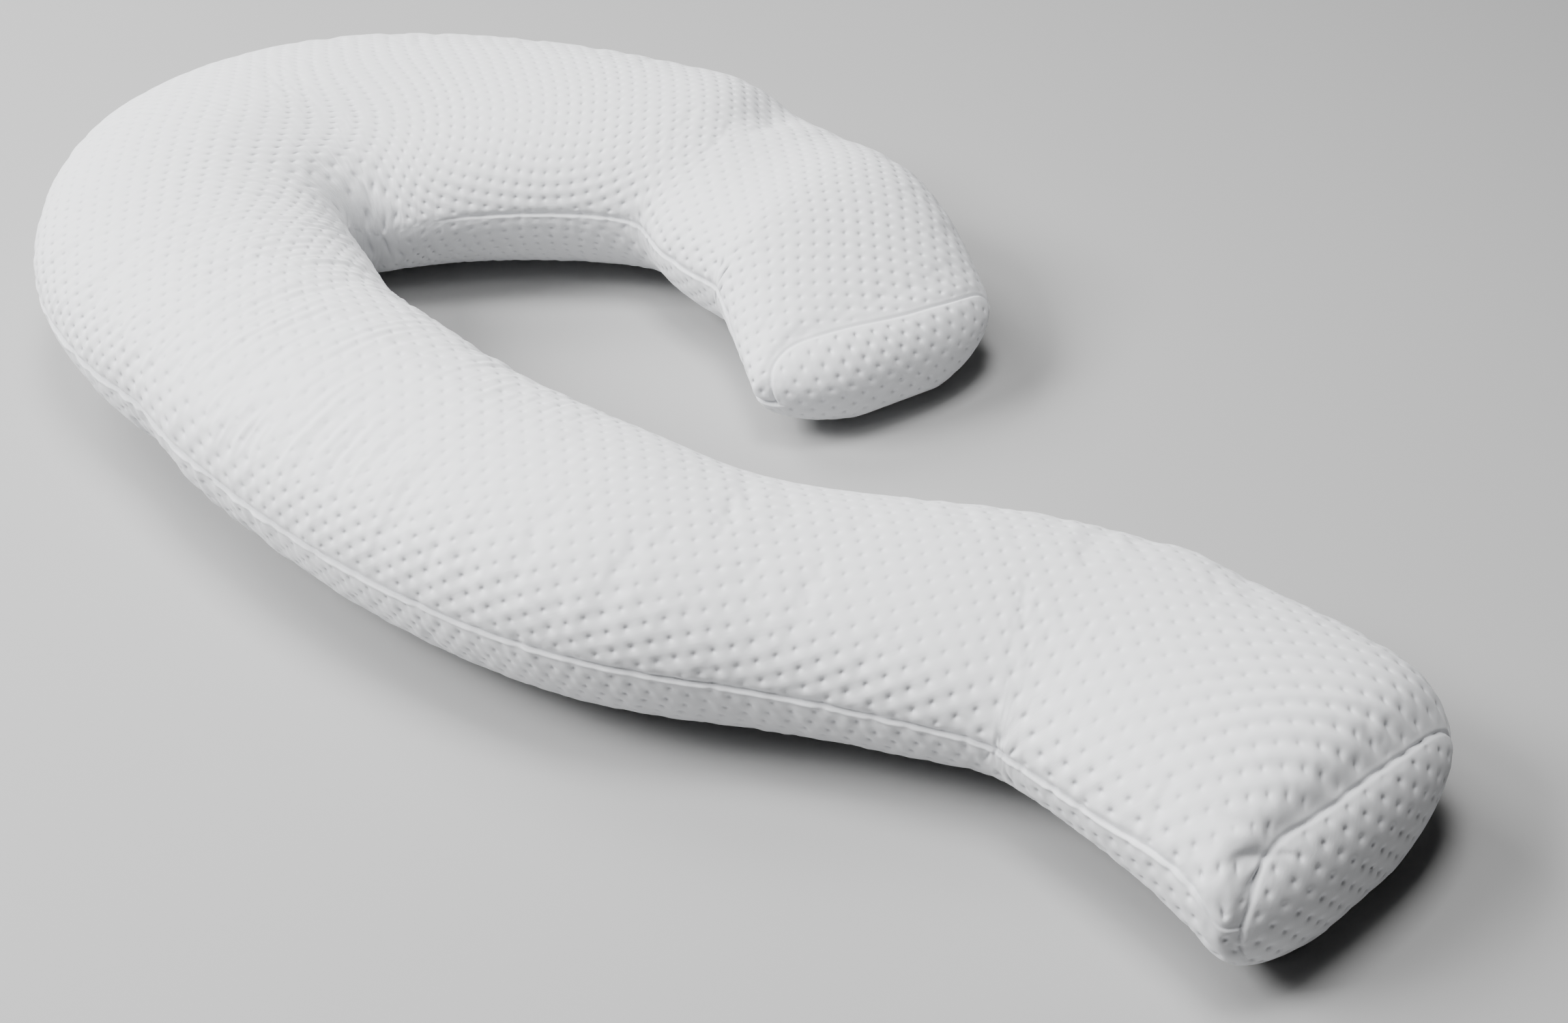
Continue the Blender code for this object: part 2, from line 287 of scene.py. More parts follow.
# ---- curves, noise
def spline(values, where):
    """Natural cubic through one value a station, read at `where` (stations).

    Returns the value, its slope and its bend; values may be rows of numbers.
    """
    values = np.asarray(values, float)
    count = len(values)
    grid = np.zeros((count, count))
    side = np.zeros((count,) + values.shape[1:])
    grid[0, 0] = grid[-1, -1] = 1.0
    for k in range(1, count - 1):
        grid[k, k - 1:k + 2] = (1.0, 4.0, 1.0)
    side[1:-1] = 6.0 * (values[:-2] - 2.0 * values[1:-1] + values[2:])
    bend = np.linalg.solve(grid, side.reshape(count, -1)).reshape(values.shape)
    k = np.clip(where.astype(int), 0, count - 2)
    t = where - k
    if values.ndim > 1:
        t = t[:, None]
    a, b = values[k], values[k + 1]
    p, q = bend[k], bend[k + 1]
    value = (1 - t) * a + t * b + ((1 - t) ** 3 - (1 - t)) * p / 6 + (t ** 3 - t) * q / 6
    slope = b - a + (1 - 3 * (1 - t) ** 2) * p / 6 + (3 * t ** 2 - 1) * q / 6
    return value, slope, (1 - t) * p + t * q


def value_noise(x, y, seed):
    """Smooth noise from -1 to 1: random values at whole x, y, eased between."""
    table = np.random.RandomState(seed).uniform(-1.0, 1.0, (256, 256))
    i, j = np.floor(x).astype(int), np.floor(y).astype(int)
    a, b = x - i, y - j
    a, b = a * a * (3 - 2 * a), b * b * (3 - 2 * b)
    i0, i1, j0, j1 = i % 256, (i + 1) % 256, j % 256, (j + 1) % 256
    low = table[i0, j0] * (1 - a) + table[i1, j0] * a
    top = table[i0, j1] * (1 - a) + table[i1, j1] * a
    return low * (1 - b) + top * b


def ease(value, low, high):
    """0 below low, 1 above high, and a smooth step between."""
    t = np.clip((value - low) / (high - low), 0.0, 1.0)
    return t * t * (3 - 2 * t)


def bell(value, half, middle=0.0, power=2):
    """A bell of height 1 round `middle`, its half width `half`; blunt at power 4."""
    return np.exp(-((value - middle) / half) ** power)


def kept_within(field, value, limits):
    """`field` between the middle two limits of `value`, 0 past the outer two."""
    low, full, fading, gone = limits
    return field * ease(value, low, full) * (1 - ease(value, fading, gone))


# ---- filled form
def centre_line(where):
    """Middle, direction, outward side, sizes and bend of sections at `where`."""
    table = np.array(STATIONS)
    middle, slope, curve = spline(table[:, 0:2], where)
    speed = np.linalg.norm(slope, axis=1)
    turn_rate = (slope[:, 0] * curve[:, 1] - slope[:, 1] * curve[:, 0]) / speed ** 3
    slope = slope / speed[:, None]
    turn = np.radians(FOOT_SKEW) * bell(where, SKEW_REACH)
    turn += np.radians(HEAD_SKEW) * bell(LAST - where, SKEW_REACH)
    ahead = np.stack([
        slope[:, 0] * np.cos(turn) - slope[:, 1] * np.sin(turn),
        slope[:, 0] * np.sin(turn) + slope[:, 1] * np.cos(turn)], axis=1)
    outward = np.stack([-ahead[:, 1], ahead[:, 0]], axis=1)
    sizes, _, _ = spline(table[:, 2:5], where)
    return middle, ahead, outward, sizes, turn_rate


def form(where, degrees):
    """Sideways and upward places of the filled form, a row for each section.

    Superellipse halves: the top panel springs from the seams to the crown,
    the bottom panel from the seams to the floor, pressed flat there. In the
    tight bend the inner seam dips and the top runs down to it in a saddle.
    """
    middle, ahead, outward, sizes, _ = centre_line(where)
    out, inn, high = (sizes[:, k:k + 1] for k in range(3))
    c, s = np.cos(np.radians(degrees)), np.sin(np.radians(degrees))
    dip = BEND_DIP * bell(where[:, None], BEND_REACH, BEND_AT)
    seam = SEAM_RISE * high * np.where(c > 0, 1.0, 1.0 - dip)
    slack = bell(where[:, None], BEND_SLACK_REACH, BEND_SLACK_AT)
    slack = BEND_SLACK * slack * ease(-c, 0.0, 0.5)
    power = np.where(s >= 0, TOP_FULLNESS - slack, BASE_FULLNESS)
    side = np.sign(c) * np.abs(c) ** (2 / power) * np.where(c > 0, out, inn)
    rise = np.abs(s) ** (2 / power)
    up = np.where(s >= 0, seam + (high - seam) * rise, seam - (seam + BASE_PRESS) * rise)
    step = np.linalg.norm(np.diff(middle, axis=0), axis=1)
    length = np.concatenate([[0.0], np.cumsum(step)])
    depth = np.zeros_like(side)
    for along, around, run, girth, deep in DENTS:
        away = length[:, None] - np.interp(along, where, length)
        off = (degrees - around + 180.0) % 360.0 - 180.0
        depth += deep * np.exp(-(away / run) ** 2 - (off / girth) ** 2)
    heart = SEAM_RISE * high
    reach = np.hypot(side, np.maximum(up, 0.0) - heart)
    shrink = 1.0 - depth / reach
    return side * shrink, np.maximum(heart + (up - heart) * shrink, 0.0), length


def place(where, side, up):
    """World places of sideways and upward offsets from the centre line."""
    middle, ahead, outward, _, _ = centre_line(where)
    flat = middle[:, None, :] + side[..., None] * outward[:, None, :]
    spot = np.concatenate([flat, up[..., None]], axis=2)
    low = 1.0 - spot[:1, :, 2:3] / spot[0, :, 2].max()
    fade = bell(where - where[0], LEAN_REACH)[:, None, None]
    lean = np.append(-ahead[0], 0.0) * FOOT_LEAN * low * fade
    return spot + lean


def outline_run(where):
    """Share of the longer outline's length at stations `where`."""
    fine = np.linspace(0.0, LAST, 4001)
    middle, _, outward, sizes, _ = centre_line(fine)
    far = middle + outward * sizes[:, 0:1] * 0.75
    near = middle - outward * sizes[:, 1:2] * 0.75
    steps = [np.linalg.norm(np.diff(way, axis=0), axis=1) for way in (far, middle, near)]
    run = np.concatenate([[0.0], np.cumsum(np.max(steps, axis=0))])
    return np.interp(where, fine, run / run[-1]), fine, run


def soften_rows(field, reach):
    """A running bell-weighted mean along the rows, `reach` rows wide."""
    total, weight = np.zeros_like(field), 0.0
    last = len(field) - 1
    for k in range(-3 * reach, 3 * reach + 1, 2):
        share = math.exp(-(k / reach) ** 2 / 2)
        total += share * field[np.clip(np.arange(last + 1) + k, 0, last)]
        weight += share
    return total / weight


def rows_by_outline(count, ends=0.0):
    """Stations for `count` sections, even along the longer of the outlines.

    With `ends` they are closer near both ends, by that share.
    """
    _, fine, run = outline_run(np.zeros(1))
    near_foot, near_head = (bell(way, END_CROWD) for way in (run, run[-1] - run))
    crowd = 1 + ends * near_foot + ends * near_head
    weight = np.concatenate([[0.0], np.cumsum((crowd[1:] + crowd[:-1]) / 2 * np.diff(run))])
    return np.interp(np.linspace(0.0, weight[-1], count), weight, fine)


def side_seams(where):
    """Angles of the outer and inner side seams, for each section.

    The outer one rises a little beside the foot; the inner one runs down a
    little towards the tip.
    """
    middle = centre_line(where)[0]
    step = np.linalg.norm(np.diff(middle, axis=0), axis=1)
    run = np.concatenate([[0.0], np.cumsum(step)])[:, None]
    outer = FOOT_LIFT * bell(run, FOOT_LIFT_REACH, FOOT_LIFT_AT)
    return outer, 180.0 + TIP_DIP * (1 - ease(run[-1] - run, 0.0, TIP_DIP_FROM))


def half_columns(where, first, last, cols, crowd, fine):
    """Angles of columns laid between two seams, by the arc's length there.

    They are evenly spread, or by `crowd` closer towards the seams; if `fine`,
    the EDGE columns are added beside each seam.
    """
    t = np.linspace(0.0, 1.0, 241)
    t = t - np.sin(2 * np.pi * t) / (2 * np.pi) * 0.92
    degrees = first + (last - first) * t + np.zeros((len(where), 1))
    side, up, _ = form(where, degrees)
    step = np.hypot(np.diff(side, axis=1), np.diff(up, axis=1))
    arc = np.concatenate([np.zeros((len(where), 1)), np.cumsum(step, axis=1)], axis=1)
    girth = arc[:, -1]
    edge = EDGE if fine else EDGE[:1]
    spread = np.linspace(0.0, 1.0, cols + 1)
    spread = (spread - crowd * np.sin(2 * np.pi * spread) / (2 * np.pi))[1:-1]
    between = edge[-1] + (girth[:, None] - 2 * edge[-1]) * spread
    lead = np.broadcast_to(edge, (len(where), len(edge)))
    target = np.concatenate([lead, between, girth[:, None] - lead[:, ::-1]], axis=1)
    found = np.empty_like(target)
    for row in range(len(where)):
        found[row] = np.interp(target[row], arc[row], degrees[row])
    return found, target, girth


def joined(over, under):
    """The top panel's columns, then the bottom's without its two seam edges."""
    return np.concatenate([over, under[:, 1:-1]], axis=1)


def normals_of(spot):
    """Unit normals of a grid of places closed round its rows, by differences."""
    along = np.gradient(spot, axis=0)
    across = (np.roll(spot, -1, axis=1) - np.roll(spot, 1, axis=1)) / 2
    normal = np.cross(across, along)
    return normal / np.maximum(np.linalg.norm(normal, axis=2), 1e-12)[..., None]


def pits(u, v):
    """1 in a dimple's bottom, 0 on the pads between: raised cosine products."""
    cup = (1 + np.cos(2 * np.pi * u)) * (1 + np.cos(2 * np.pi * v)) / 4
    return 0.6 * cup ** 1.2 + 0.4 * cup ** 4


def nicks(along, seed):
    """1 at the small gathers of a seam, one a pitch but unevenly placed."""
    rows = np.random.RandomState(seed)
    shift, size = rows.uniform(0.15, 0.85, 400), rows.uniform(0.2, 1.0, 400)
    cell = np.floor(along / NICK_PITCH).astype(int) % 400
    off = (along / NICK_PITCH - np.floor(along / NICK_PITCH) - shift[cell]) * NICK_PITCH
    return size[cell] * bell(off, NICK_WIDE)


# ---- cloth filling
def soften(field, times):
    """Blurs a grid `times` over with weights 1, 2, 1 each way, ends held."""
    for _ in range(times):
        padded = np.concatenate([field[:1], field, field[-1:]])
        field = (padded[:-2] + 2 * padded[1:-1] + padded[2:]) / 4
        padded = np.concatenate([field[:, -1:], field, field[:, :1]], axis=1)
        field = (padded[:, :-2] + 2 * padded[:, 1:-1] + padded[:, 2:]) / 4
    return field


def resample(field, row_at, col_at):
    """Reads a grid at fractional rows and columns by Catmull-Rom cubics."""
    def weights(t):
        return (-0.5 * t + t ** 2 - 0.5 * t ** 3, 1 - 2.5 * t ** 2 + 1.5 * t ** 3,
                0.5 * t + 2 * t ** 2 - 1.5 * t ** 3, -0.5 * t ** 2 + 0.5 * t ** 3)

    rows, cols = field.shape
    k = np.clip(np.floor(row_at).astype(int), 0, rows - 2)
    mixed = 0.0
    for shift, share in enumerate(weights(row_at - k)):
        mixed = mixed + share[:, None] * field[np.clip(k + shift - 1, 0, rows - 1)]
    k = np.clip(np.floor(col_at).astype(int), 0, cols - 2)
    value = 0.0
    for shift, share in enumerate(weights(col_at - k)):
        taken = np.take_along_axis(mixed, np.clip(k + shift - 1, 0, cols - 1), axis=1)
        value = value + share * taken
    return value


def set_mesh(name, points, faces, flat=None, marks=()):
    """A smooth mesh object at the origin from arrays of points and quads.

    A face whose last two corners are the same is a triangle. `flat` gives the
    flat cut's coordinates for each corner; `marks` are float attributes.
    """
    mesh = bpy.data.meshes.new(name)
    size = np.where(faces[:, 2] == faces[:, 3], 3, 4)
    keep = np.arange(4)[None, :] < size[:, None]
    mesh.vertices.add(len(points))
    mesh.vertices.foreach_set("co", np.asarray(points, np.float32).ravel())
    mesh.loops.add(int(size.sum()))
    mesh.loops.foreach_set("vertex_index", faces[keep].astype(np.int32))
    mesh.polygons.add(len(faces))
    start = np.concatenate([[0], np.cumsum(size)[:-1]]).astype(np.int32)
    mesh.polygons.foreach_set("loop_start", start)
    mesh.polygons.foreach_set("use_smooth", np.ones(len(faces), dtype=bool))
    mesh.update(calc_edges=True)
    if flat is not None:
        layer = mesh.uv_layers.new(name="flat_cut")
        layer.data.foreach_set("uv", np.asarray(flat[keep], np.float32).ravel())
    for mark, values in marks:
        layer = mesh.attributes.new(mark, "FLOAT", "POINT")
        layer.data.foreach_set("value", np.asarray(values, np.float32).ravel())
    thing = bpy.data.objects.new(name, mesh)
    bpy.context.scene.collection.objects.link(thing)
    return thing


def ring_faces(rows, cols):
    """Quads of a tube of `rows` rings, and a fan to a pole point at each end.

    The pole points follow the rings' points, the first ring's pole first.
    """
    at = np.arange(rows * cols).reshape(rows, cols)
    after = np.roll(at, -1, axis=1)
    quads = np.stack([at[:-1], after[:-1], after[1:], at[1:]], axis=2).reshape(-1, 4)
    start, end = rows * cols, rows * cols + 1
    first = np.stack([np.full(cols, start), after[0], at[0], at[0]], axis=1)
    last = np.stack([np.full(cols, end), at[-1], after[-1], after[-1]], axis=1)
    return np.concatenate([quads, first, last])


def ripples(rows, top_cols, base_cols):
    """Puckers that Blender's cloth leaves in a slack, filled case, in metres.

    The case is laid as a coarse closed tube, starting just inside its form,
    pinned along both side seams, at its ends and where it lies on the floor.
    Its rest lengths are a little long, and it is filled by pressure with
    gravity off. What counts is how far each point moved along its normal,
    less the broad swell, and capped.
    """
    where = rows_by_outline(rows)
    outer, inner = side_seams(where)
    top, _, _ = half_columns(where, outer, inner, top_cols, 0.0, False)
    base, _, _ = half_columns(where, inner, outer + 360.0, base_cols, 0.0, False)
    degrees = joined(top, base)
    side, up, _ = form(where, degrees)
    spot = place(where, side, up)
    cols = spot.shape[1]
    normal = normals_of(spot)
    grain = value_noise(np.arange(rows)[:, None] * 0.83 + 0 * side,
                        np.arange(cols)[None, :] * 0.83 + 0 * side, 11)
    begin = spot - normal * (CLOTH_INSIDE + CLOTH_GRAIN * grain)[..., None]
    poles = np.stack([spot[0].mean(axis=0), spot[-1].mean(axis=0)])
    case = set_mesh("coarse_case", np.concatenate([begin.reshape(-1, 3), poles]),
                    ring_faces(rows, cols))
    held = np.zeros((rows, cols))
    held[:, [0, top_cols]] = 1.0
    held[[0, -1]] = 1.0
    held[up < CLOTH_PINNED] = 1.0
    still = np.append(held.ravel(), [1.0, 1.0])
    group = case.vertex_groups.new(name="held")
    group.add(np.nonzero(still)[0].tolist(), 1.0, "REPLACE")
    work = case.modifiers.new("filling", "CLOTH")
    for rule, value in CLOTH_RULES.items():
        setattr(work.settings, rule, value)
    work.settings.effector_weights.gravity = 0.0
    work.point_cache.frame_start = 1
    work.point_cache.frame_end = CLOTH_FRAMES
    scene = bpy.context.scene
    for number in range(1, CLOTH_FRAMES + 1):
        scene.frame_set(number)
    ready = case.evaluated_get(bpy.context.evaluated_depsgraph_get())
    moved = np.empty(len(ready.data.vertices) * 3, np.float32)
    ready.data.vertices.foreach_get("co", moved)
    moved = moved.reshape(-1, 3)[:-2].reshape(rows, cols, 3)
    scene.frame_set(1)
    bpy.data.objects.remove(case)
    off = ((moved - begin) * normal).sum(axis=2)
    off = np.where(np.isfinite(off), off, 0.0)
    off = np.clip(off, -CLOTH_CAP, CLOTH_CAP)
    fine = off - soften(off, CLOTH_SWELL)
    fine = np.clip(fine, -RIPPLE_CAP, RIPPLE_CAP) * (1 - held)
    return fine[:, :top_cols + 1], np.concatenate([fine[:, top_cols:], fine[:, :1]], axis=1)


# ---- the case
def flat_cut(where, girth_off):
    """Places on the flat cut: along the centre line, out by the arc from it.

    Towards the inner side of a bend the arc is eased in, so that the cut
    doesn't fold over itself where the offset passes the bend's radius.
    """
    middle, _, outward, _, turn = centre_line(where)
    tight = np.maximum(turn[:, None] * girth_off, 0.0)
    over = np.maximum(tight - EASE_FROM, 0.0) / (1 - EASE_FROM)
    eased = EASE_FROM + (1 - EASE_FROM) * (1 - np.exp(-over))
    share = np.where(tight > EASE_FROM, eased / np.maximum(tight, 1e-6), 1.0)
    return middle[:, None, :] + (girth_off * share)[..., None] * outward[:, None, :]


def end_lattice(plain, out_way, inward, kind):
    """Knit rows on an end's face, by the arc `inward` to its middle."""
    heart = (plain.min(axis=0) + plain.max(axis=0)) / 2
    ray = plain - heart
    across = ray[:, 0] * -out_way[1] + ray[:, 1] * out_way[0]
    way = np.stack([across, -ray[:, 2]], axis=1)
    way = way / np.linalg.norm(way, axis=1)[:, None]
    flat = inward[..., None] * way[None]
    wide, left, right = END_KNIT[kind]
    on, over = flat[..., 0], flat[..., 1]
    return (left * over - on) / wide, (right * over + on) / wide


def end_form(plain, out_way, crown):
    """An end's rings, from the last section in towards its middle point.

    On each ray from the middle to the rim the face stands out by
    rise * (1 - share^power)^curve, laid by the arc in from the rim.
    """
    out = np.append(out_way, 0.0)
    heart = (plain.min(axis=0) + plain.max(axis=0)) / 2
    ray = plain - heart
    reach = np.linalg.norm(ray, axis=1)
    rise = crown + END_OUT
    fine = np.sin(np.linspace(0.0, np.pi / 2, 401))[::-1]
    swell = rise * (1 - fine ** END_POWER) ** END_CURVE
    step = np.hypot(np.diff(fine)[:, None] * reach[None], np.diff(swell)[:, None])
    arc = np.concatenate([np.zeros((1, len(reach))), np.cumsum(step, axis=0)])
    lead = np.arange(1, END_LEAD + 1) * END_STEP
    rest = np.linspace(0.0, 1.0, END_ROWS + 1)[1:-1]
    at = np.concatenate([
        np.broadcast_to(lead[:, None], (len(lead), len(reach))),
        lead[-1] + rest[:, None] * (arc[-1] - lead[-1])])
    share = np.stack([np.interp(at[:, k], arc[:, k], fine) for k in range(len(reach))], axis=1)
    stand = rise * (1 - share ** END_POWER) ** END_CURVE
    spot = heart + share[..., None] * ray + stand[..., None] * out
    return spot, at, arc[-1] - at, heart + out * rise


def case_piece():
    """The filled case: a tube of sections, rounded over at both ends.

    A point is the filled form's place at its station and angle, plus the
    cloth's ripples, wrinkles and folds, less the seams' grooves and the dimples
    (a lattice of raised cosine cups on the flat cut), all along its normal.
    """
    where = rows_by_outline(ROWS, 1.0)
    outer, inner = side_seams(where)
    top, top_arc, top_girth = half_columns(where, outer, inner, TOP_COLS, 0.0, True)
    base, base_arc, base_girth = half_columns(where, inner, outer + 360.0, BASE_COLS, 0.5, True)
    tops = top.shape[1]
    degrees = joined(top, base)
    cols = degrees.shape[1]
    side, up, length = form(where, degrees)
    body = place(where, side, up)
    _, ahead, _, _, _ = centre_line(where)
    tight = bell(length, BEND_SOFT_REACH, BEND_SOFT_AT, 4)[:, None]
    tight = kept_within(tight, degrees, BEND_SOFT_ROUND)
    body = body + tight[..., None] * (soften_rows(body, BEND_SOFT) - body)
    ways = {"foot": -ahead[0], "head": ahead[-1]}
    foot, foot_at, foot_in, foot_tip = end_form(body[0], ways["foot"], FOOT_CROWN)
    head, head_at, head_in, head_tip = end_form(body[-1], ways["head"], HEAD_CROWN)
    more, rows = len(foot), len(foot) * 2 + ROWS
    spot = np.concatenate([foot[::-1], body, head])

    # arc past each end's last section, less than 0 on the case itself
    whole = length[-1]
    from_foot, from_head = -length[:, None] + 0 * side, (length - whole)[:, None] + 0 * side
    past = {"foot": np.concatenate([foot_at[::-1], from_foot, -whole - head_at]),
            "head": np.concatenate([-whole - foot_at[::-1], from_head, head_at])}
    for _ in range(END_SMOOTH):
        for kind in ("foot", "head"):
            near = bell(past[kind][1:-1], END_SMOOTH_REACH, power=4)[..., None]
            spot[1:-1] += near * ((spot[:-2] + spot[2:]) / 2 - spot[1:-1]) / 2
    normal = normals_of(spot)

    def over_ends(field):
        """A field of the case, its end rows repeated over the ends' rings."""
        first, last = np.repeat(field[:1], more, axis=0), np.repeat(field[-1:], more, axis=0)
        return np.concatenate([first, field, last])

    arc = over_ends(joined(top_arc, base_arc))
    is_top = np.arange(cols)[None, :] < tops
    girth = over_ends(np.where(is_top, top_girth[:, None], base_girth[:, None]))
    edge = np.minimum(arc, girth - arc)
    on_outer = np.where(is_top, arc < girth / 2, arc > girth / 2)
    angle = over_ends(degrees)
    along = np.clip(-past["foot"], -1.0, whole + 1.0)

    # the two panels' knit rows, then each end's own
    shown = {}
    for name, part, off in (("top", top_arc, top_girth[:, None] / 2 - top_arc),
                            ("base", base_arc, base_arc - base_girth[:, None] / 2)):
        cut = flat_cut(where, off)
        first = cut[0] + foot_at[::-1, :part.shape[1], None] * ways["foot"]
        last = cut[-1] + head_at[:, :part.shape[1], None] * ways["head"]
        laid_out = np.concatenate([first, cut, last])
        if name == "base":
            laid_out[..., 0] += BASE_ASIDE
        shown[name] = knit_rows(laid_out)
    u, v = (joined(*both) for both in zip(shown["top"], shown["base"]))
    laid = [np.stack([u, v], axis=2)]
    low_side = [part[:, [0, -1]] for part in shown["base"]]

    lift = np.zeros_like(edge)
    pit = np.ones_like(edge)
    # where shade is painted along the seams' grooves; it becomes the 'seam' attribute
    seam = np.zeros_like(edge)
    on_end = np.zeros((rows, cols), dtype=int)
    side_mask = np.ones_like(edge)
    for number, kind in ((1, "foot"), (2, "head")):
        inside = {"foot": foot_in, "head": head_in}[kind]
        inward = inside[0] + END_STEP - past[kind]
        plain = body[0] if kind == "foot" else body[-1]
        laid.append(np.stack(end_lattice(plain, ways[kind], inward, kind), axis=2))
        line = seam_line(angle, END_SEAM[kind])
        deeper = past[kind] - line
        on_end[deeper > 0] = number
        low = np.where(angle > 270, 360 - angle, angle - 180)
        sewn = np.where(is_top, 1.0, np.exp(-np.maximum(low - NUB_LOW, 0) ** 2 / NUB_FADE))
        gather = value_noise(angle / END_GATHER + number * 31.0, 0 * angle + 2.5, 24)
        groove = END_SEAM_IN * bell(deeper, END_SEAM_WIDE) * (1 + 0.3 * gather)
        slope = END_SLOPE * bell(deeper, SLOPE_WIDE, SLOPE_AT)
        lip = END_ROLL * bell(deeper, ROLL_WIDE, ROLL_AT) * (1 + 0.5 * gather)
        lift += (lip - groove - slope) * sewn
        folds, folded = end_folds(kind, deeper, angle, plain)
        lift += folds
        # the end seam's groove, for its painted shade
        seam = np.maximum(seam, bell(deeper, SHADE_LINE_END) * sewn)
        side_mask *= 1 - ease(deeper, *SEAM_STOP)
        fade = ease(np.abs(deeper), *CLEAR_END) * sewn + (1 - sewn)
        pit = np.where(deeper > 0, PIT_END, pit) * fade * (1 - 0.85 * folded)

    # cloth ripples
    over, under = ripples(CLOTH_ROWS, CLOTH_TOP, CLOTH_BASE)
    row_at = outline_run(where)[0] * (CLOTH_ROWS - 1.0)
    shift_top = resample(over, row_at, top_arc / top_girth[:, None] * CLOTH_TOP)
    shift_base = resample(under, row_at, base_arc / base_girth[:, None] * CLOTH_BASE)
    shift = over_ends(joined(shift_top, shift_base))
    lift += shift * RIPPLE_SHARE * side_mask

    # dimples, and the soft ridges between their rows
    for number in (1, 2):
        u = np.where(on_end == number, laid[number][..., 0], u)
        v = np.where(on_end == number, laid[number][..., 1], v)
    flank = ease(-normal[..., 2], *FLANK)
    crown = PIT_TOP + (PIT_HOOK - PIT_TOP) * ease(along, HOOK_FROM, HOOK_FULL)
    share = np.where(is_top, crown + np.maximum(PIT_FLANK - crown, 0.0) * flank, PIT_LOW)
    share = np.where(on_end > 0, 1.0, share) * pit
    share = share * (1 + PIT_UNEVEN * value_noise(u * 0.31, v * 0.31, 3))
    beside = np.where(on_end > 0, 1.0, ease(edge, *CLEAR_SIDE))
    share = share * beside * ease(spot[..., 2], *CLEAR_FLOOR)
    lift -= share * (pits(u, v) - PIT_PROUD)
    foot_near = bell(np.maximum(along, 0.0), FOOT_REACH) * is_top * (on_end == 0)
    foot_near = foot_near * ease(angle, *FOOT_ROUND)
    ridge = ROW_RIDGE * flank * is_top * (on_end == 0) + FOOT_RIDGE * foot_near
    ridge = ridge * ease(edge, *CLEAR_RIDGE) * side_mask
    lift -= ridge * np.cos(2 * np.pi * v) * (0.75 + 0.45 * value_noise(u * 0.2, v * 0.5, 8))

    # wrinkles that fan out over the hook's bend, and gathers beside the seams
    run = along + 1.0
    fan = bell(along, WRINKLE_REACH, WRINKLE_AT) * is_top
    fan = kept_within(fan, angle, WRINKLE_ROUND)
    wave = value_noise(run / WRINKLE_PITCH, angle / 34.0 + run * 9.0, 41)
    wave = wave + 0.6 * value_noise(run / (0.55 * WRINKLE_PITCH), angle / 22.0 - run * 7.0, 42)
    lift += WRINKLE_HIGH * fan * wave * (0.6 + 0.8 * value_noise(run / 0.07, angle / 30.0, 43))
    bunch = bell(along, BUNCH_REACH, BUNCH_AT, 4) * (angle > 200.0)
    wave = value_noise(run / BUNCH_PITCH + 3.0, edge / 0.05, 44)
    high = (BUNCH_LOW + BUNCH_HIGH * bunch) * wave * (1 - is_top)
    lift += high * ease(edge, 0.0, 0.004) * side_mask
    wave = value_noise(run / TUCK_PITCH + 5.0, edge / 0.03, 45)
    high = TUCK_HIGH * wave * is_top * bell(edge, TUCK_REACH)
    lift += high * ease(edge, 0.0, 0.003) * side_mask

    # side seams: groove, the bottom panel's lip and the small gathers along
    # them; in the bend's inner side the cloth hides them
    side_mask = side_mask * (1 - kept_within(1 - on_outer, along, HIDDEN))
    turn = np.where(on_outer, 0.0, 7.3)
    gather = 0.5 + 0.5 * value_noise(run / 0.016 + turn, 0 * run + 0.5, 21)
    nick = np.where(on_outer, nicks(run, 31), nicks(run, 32))
    dip = SEAM_IN * bell(edge, np.where(is_top, SEAM_TOP, SEAM_LOW))
    lip = LIP_OUT * bell(edge, LIP_WIDE, LIP_AT) * (0.65 + 0.5 * gather)
    lip = lip * np.where(on_outer, 1.0, LIP_INNER)
    sewing = np.where(is_top, LIP_TOP * lip, lip * (1 - 0.8 * nick)) - dip
    sewing -= NICK_IN * nick * bell(edge, np.where(is_top, NICK_TOP, NICK_LOW))
    wave = value_noise(run / 0.007 + turn, edge / 0.02, 23)
    sewing += SEAM_UNEVEN * wave * np.exp(-edge / 0.008)
    sewing *= 1 - FOOT_TAUT * bell(np.maximum(along, 0.0), FOOT_TAUT_REACH)
    lift += sewing * side_mask
    # and the side seams' grooves, for their painted shade
    seam = np.maximum(seam, bell(edge, SHADE_LINE_SIDE) * side_mask)

    spot = spot + lift[..., None] * normal
    spot[..., 2] = np.maximum(spot[..., 2], 0.0)
    points = np.concatenate([spot.reshape(-1, 3), foot_tip[None], head_tip[None]])
    # 'pit' is a dimple's relative depth, read by the material for its bump and for the shade
    # painted into the dimples
    marks = [(name, np.append(field.ravel(), [0.0, 0.0]))
             for name, field in (("pit", share / PIT_FLANK), ("seam", seam))]
    corners = corner_rows(laid, low_side, on_end, tops)
    return set_mesh("filled_case", points, ring_faces(rows, cols), corners, marks)


